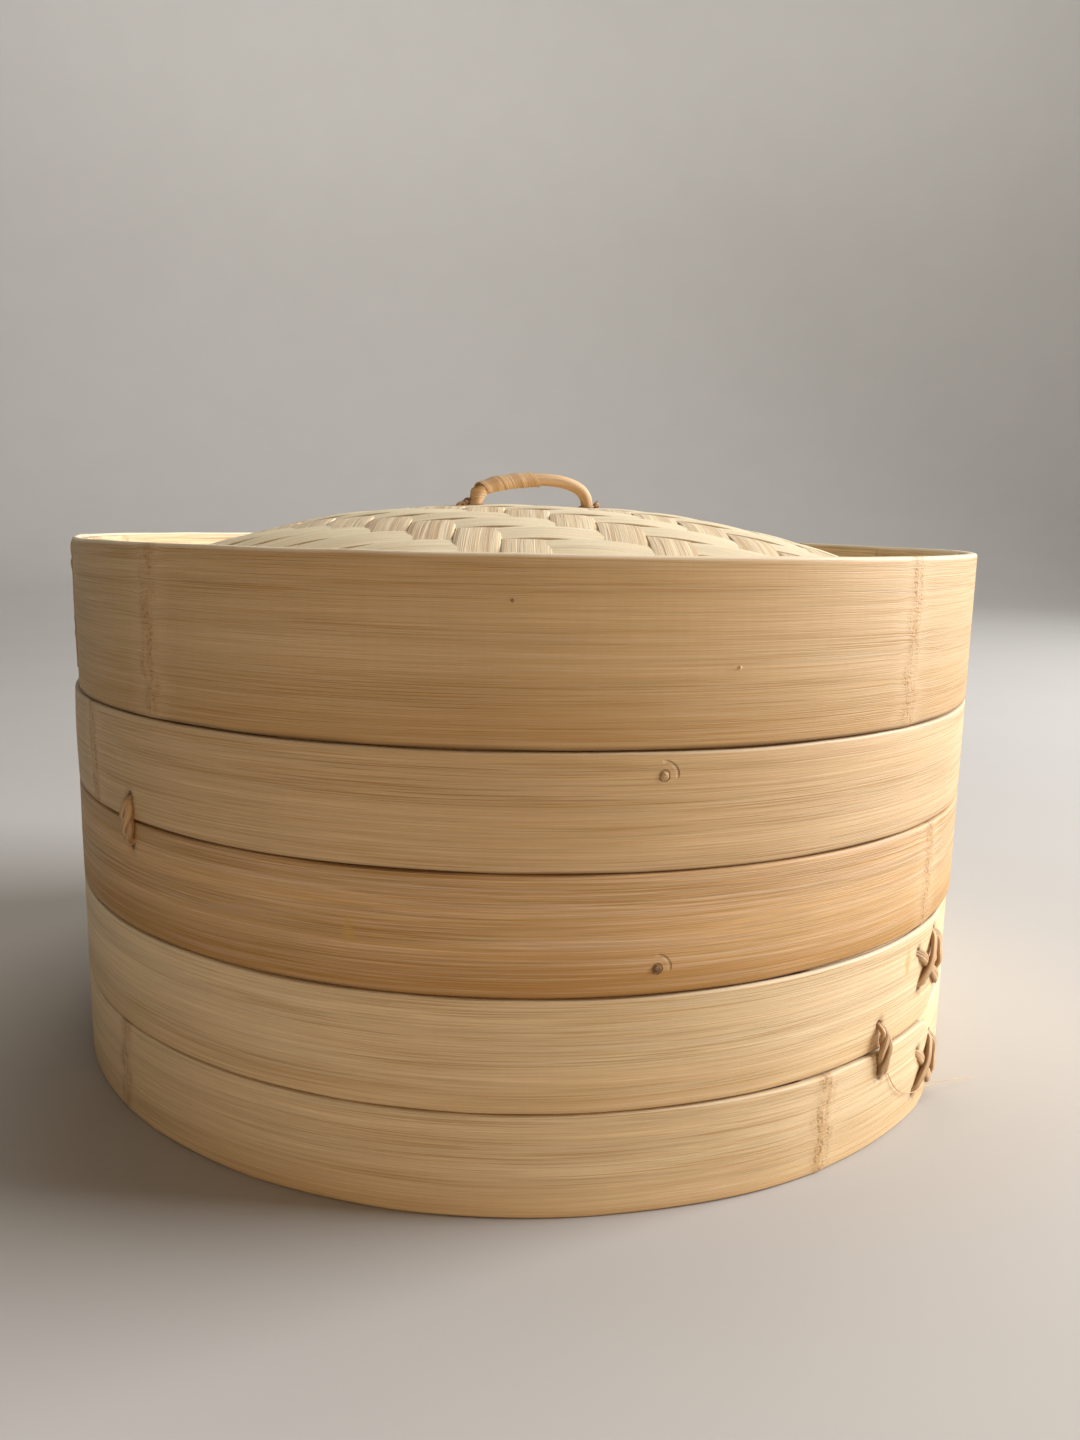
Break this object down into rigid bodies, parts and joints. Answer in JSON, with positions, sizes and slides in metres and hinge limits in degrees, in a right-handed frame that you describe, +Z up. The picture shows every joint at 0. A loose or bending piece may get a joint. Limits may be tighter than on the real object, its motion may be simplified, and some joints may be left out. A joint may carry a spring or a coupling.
{
  "type": "bamboo steamer basket",
  "caption": "Round stacking bamboo steamer with slatted tiers that nest by a lip and a domed woven lid with a cane handle, for steaming food over a pan.",
  "frame": {"origin": "centre of the circle on which the lower tier stands, at the level of its lower edge", "axes": "+Z up through the stack of tiers and the lid's crown; +X to the right and -Y towards the viewer, with the lower tier's laps at the front right"},
  "size_m": [0.2567, 0.2542, 0.159],
  "materials": {
    "bamboo_band": "split bamboo strip, fine fibres along its length, sanded and unvarnished",
    "bamboo_hoop": "split bamboo strip, paler, planed",
    "bamboo_slat": "flat bamboo slat, planed, square edges",
    "bamboo_weave": "thin woven bamboo splits, some with their brown inner fibres showing",
    "rattan_cane": "split rattan cane, brown, dry and matt",
    "handle_cane": "rattan cane bound with split cane, golden, satin",
    "bamboo_nail": "small bamboo nail, dark end grain"
  },
  "bodies": {
    "lower_tier": {"lower_tier_lower_band": "rattan_cane", "lower_tier_upper_band": "rattan_cane", "lower_tier_inner_hoop": "bamboo_hoop", "lower_tier_ledge_hoop": "bamboo_hoop", "lower_tier_crossbar_1": "bamboo_slat", "lower_tier_crossbar_2": "bamboo_slat", "lower_tier_slat_01": "bamboo_slat", "lower_tier_slat_02": "bamboo_slat", "lower_tier_slat_03": "bamboo_slat", "lower_tier_slat_04": "bamboo_slat", "lower_tier_slat_05": "bamboo_slat", "lower_tier_slat_06": "bamboo_slat", "lower_tier_slat_07": "bamboo_slat", "lower_tier_slat_08": "bamboo_slat", "lower_tier_slat_09": "bamboo_slat", "lower_tier_slat_10": "bamboo_slat", "lower_tier_slat_11": "bamboo_slat", "lower_tier_lap_stitch_lower": "rattan_cane", "lower_tier_lap_stitch_upper": "rattan_cane", "lower_tier_band_tie_1": "rattan_cane", "lower_tier_band_tie_2": "rattan_cane", "lower_tier_pin_1": "bamboo_nail", "lower_tier_pin_2": "bamboo_nail"},
    "upper_tier": {"upper_tier_lower_band": "rattan_cane", "upper_tier_upper_band": "rattan_cane", "upper_tier_inner_hoop": "bamboo_hoop", "upper_tier_ledge_hoop": "bamboo_hoop", "upper_tier_crossbar_1": "bamboo_slat", "upper_tier_crossbar_2": "bamboo_slat", "upper_tier_slat_01": "bamboo_slat", "upper_tier_slat_02": "bamboo_slat", "upper_tier_slat_03": "bamboo_slat", "upper_tier_slat_04": "bamboo_slat", "upper_tier_slat_05": "bamboo_slat", "upper_tier_slat_06": "bamboo_slat", "upper_tier_slat_07": "bamboo_slat", "upper_tier_slat_08": "bamboo_slat", "upper_tier_slat_09": "bamboo_slat", "upper_tier_slat_10": "bamboo_slat", "upper_tier_slat_11": "bamboo_slat", "upper_tier_lap_stitch_lower": "rattan_cane", "upper_tier_lap_stitch_upper": "rattan_cane", "upper_tier_band_tie_1": "rattan_cane", "upper_tier_band_tie_2": "rattan_cane", "upper_tier_pin_1": "bamboo_nail", "upper_tier_pin_2": "bamboo_nail"},
    "lid": {"lid_outer_hoop": "bamboo_band", "lid_rim_hoop": "bamboo_hoop", "lid_clamp_hoop": "bamboo_hoop", "lid_outer_weave": "bamboo_weave", "lid_inner_weave": "bamboo_weave", "lid_lap_stitch_lower": "rattan_cane", "lid_lap_stitch_upper": "rattan_cane", "lid_pin_1": "bamboo_nail", "lid_pin_2": "bamboo_nail", "handle_core": "handle_cane", "handle_wrap": "handle_cane", "handle_lashing_left": "rattan_cane", "handle_lashing_right": "rattan_cane", "handle_brace": "bamboo_slat"}
  },
  "joints": [
    {"name": "tier_lift", "type": "slide", "parent": "lower_tier", "child": "upper_tier", "axis": [0, 0, 1], "range_m": [0, 0.1]},
    {"name": "lid_lift", "type": "slide", "parent": "upper_tier", "child": "lid", "axis": [0, 0, 1], "range_m": [0, 0.1]}
  ]
}
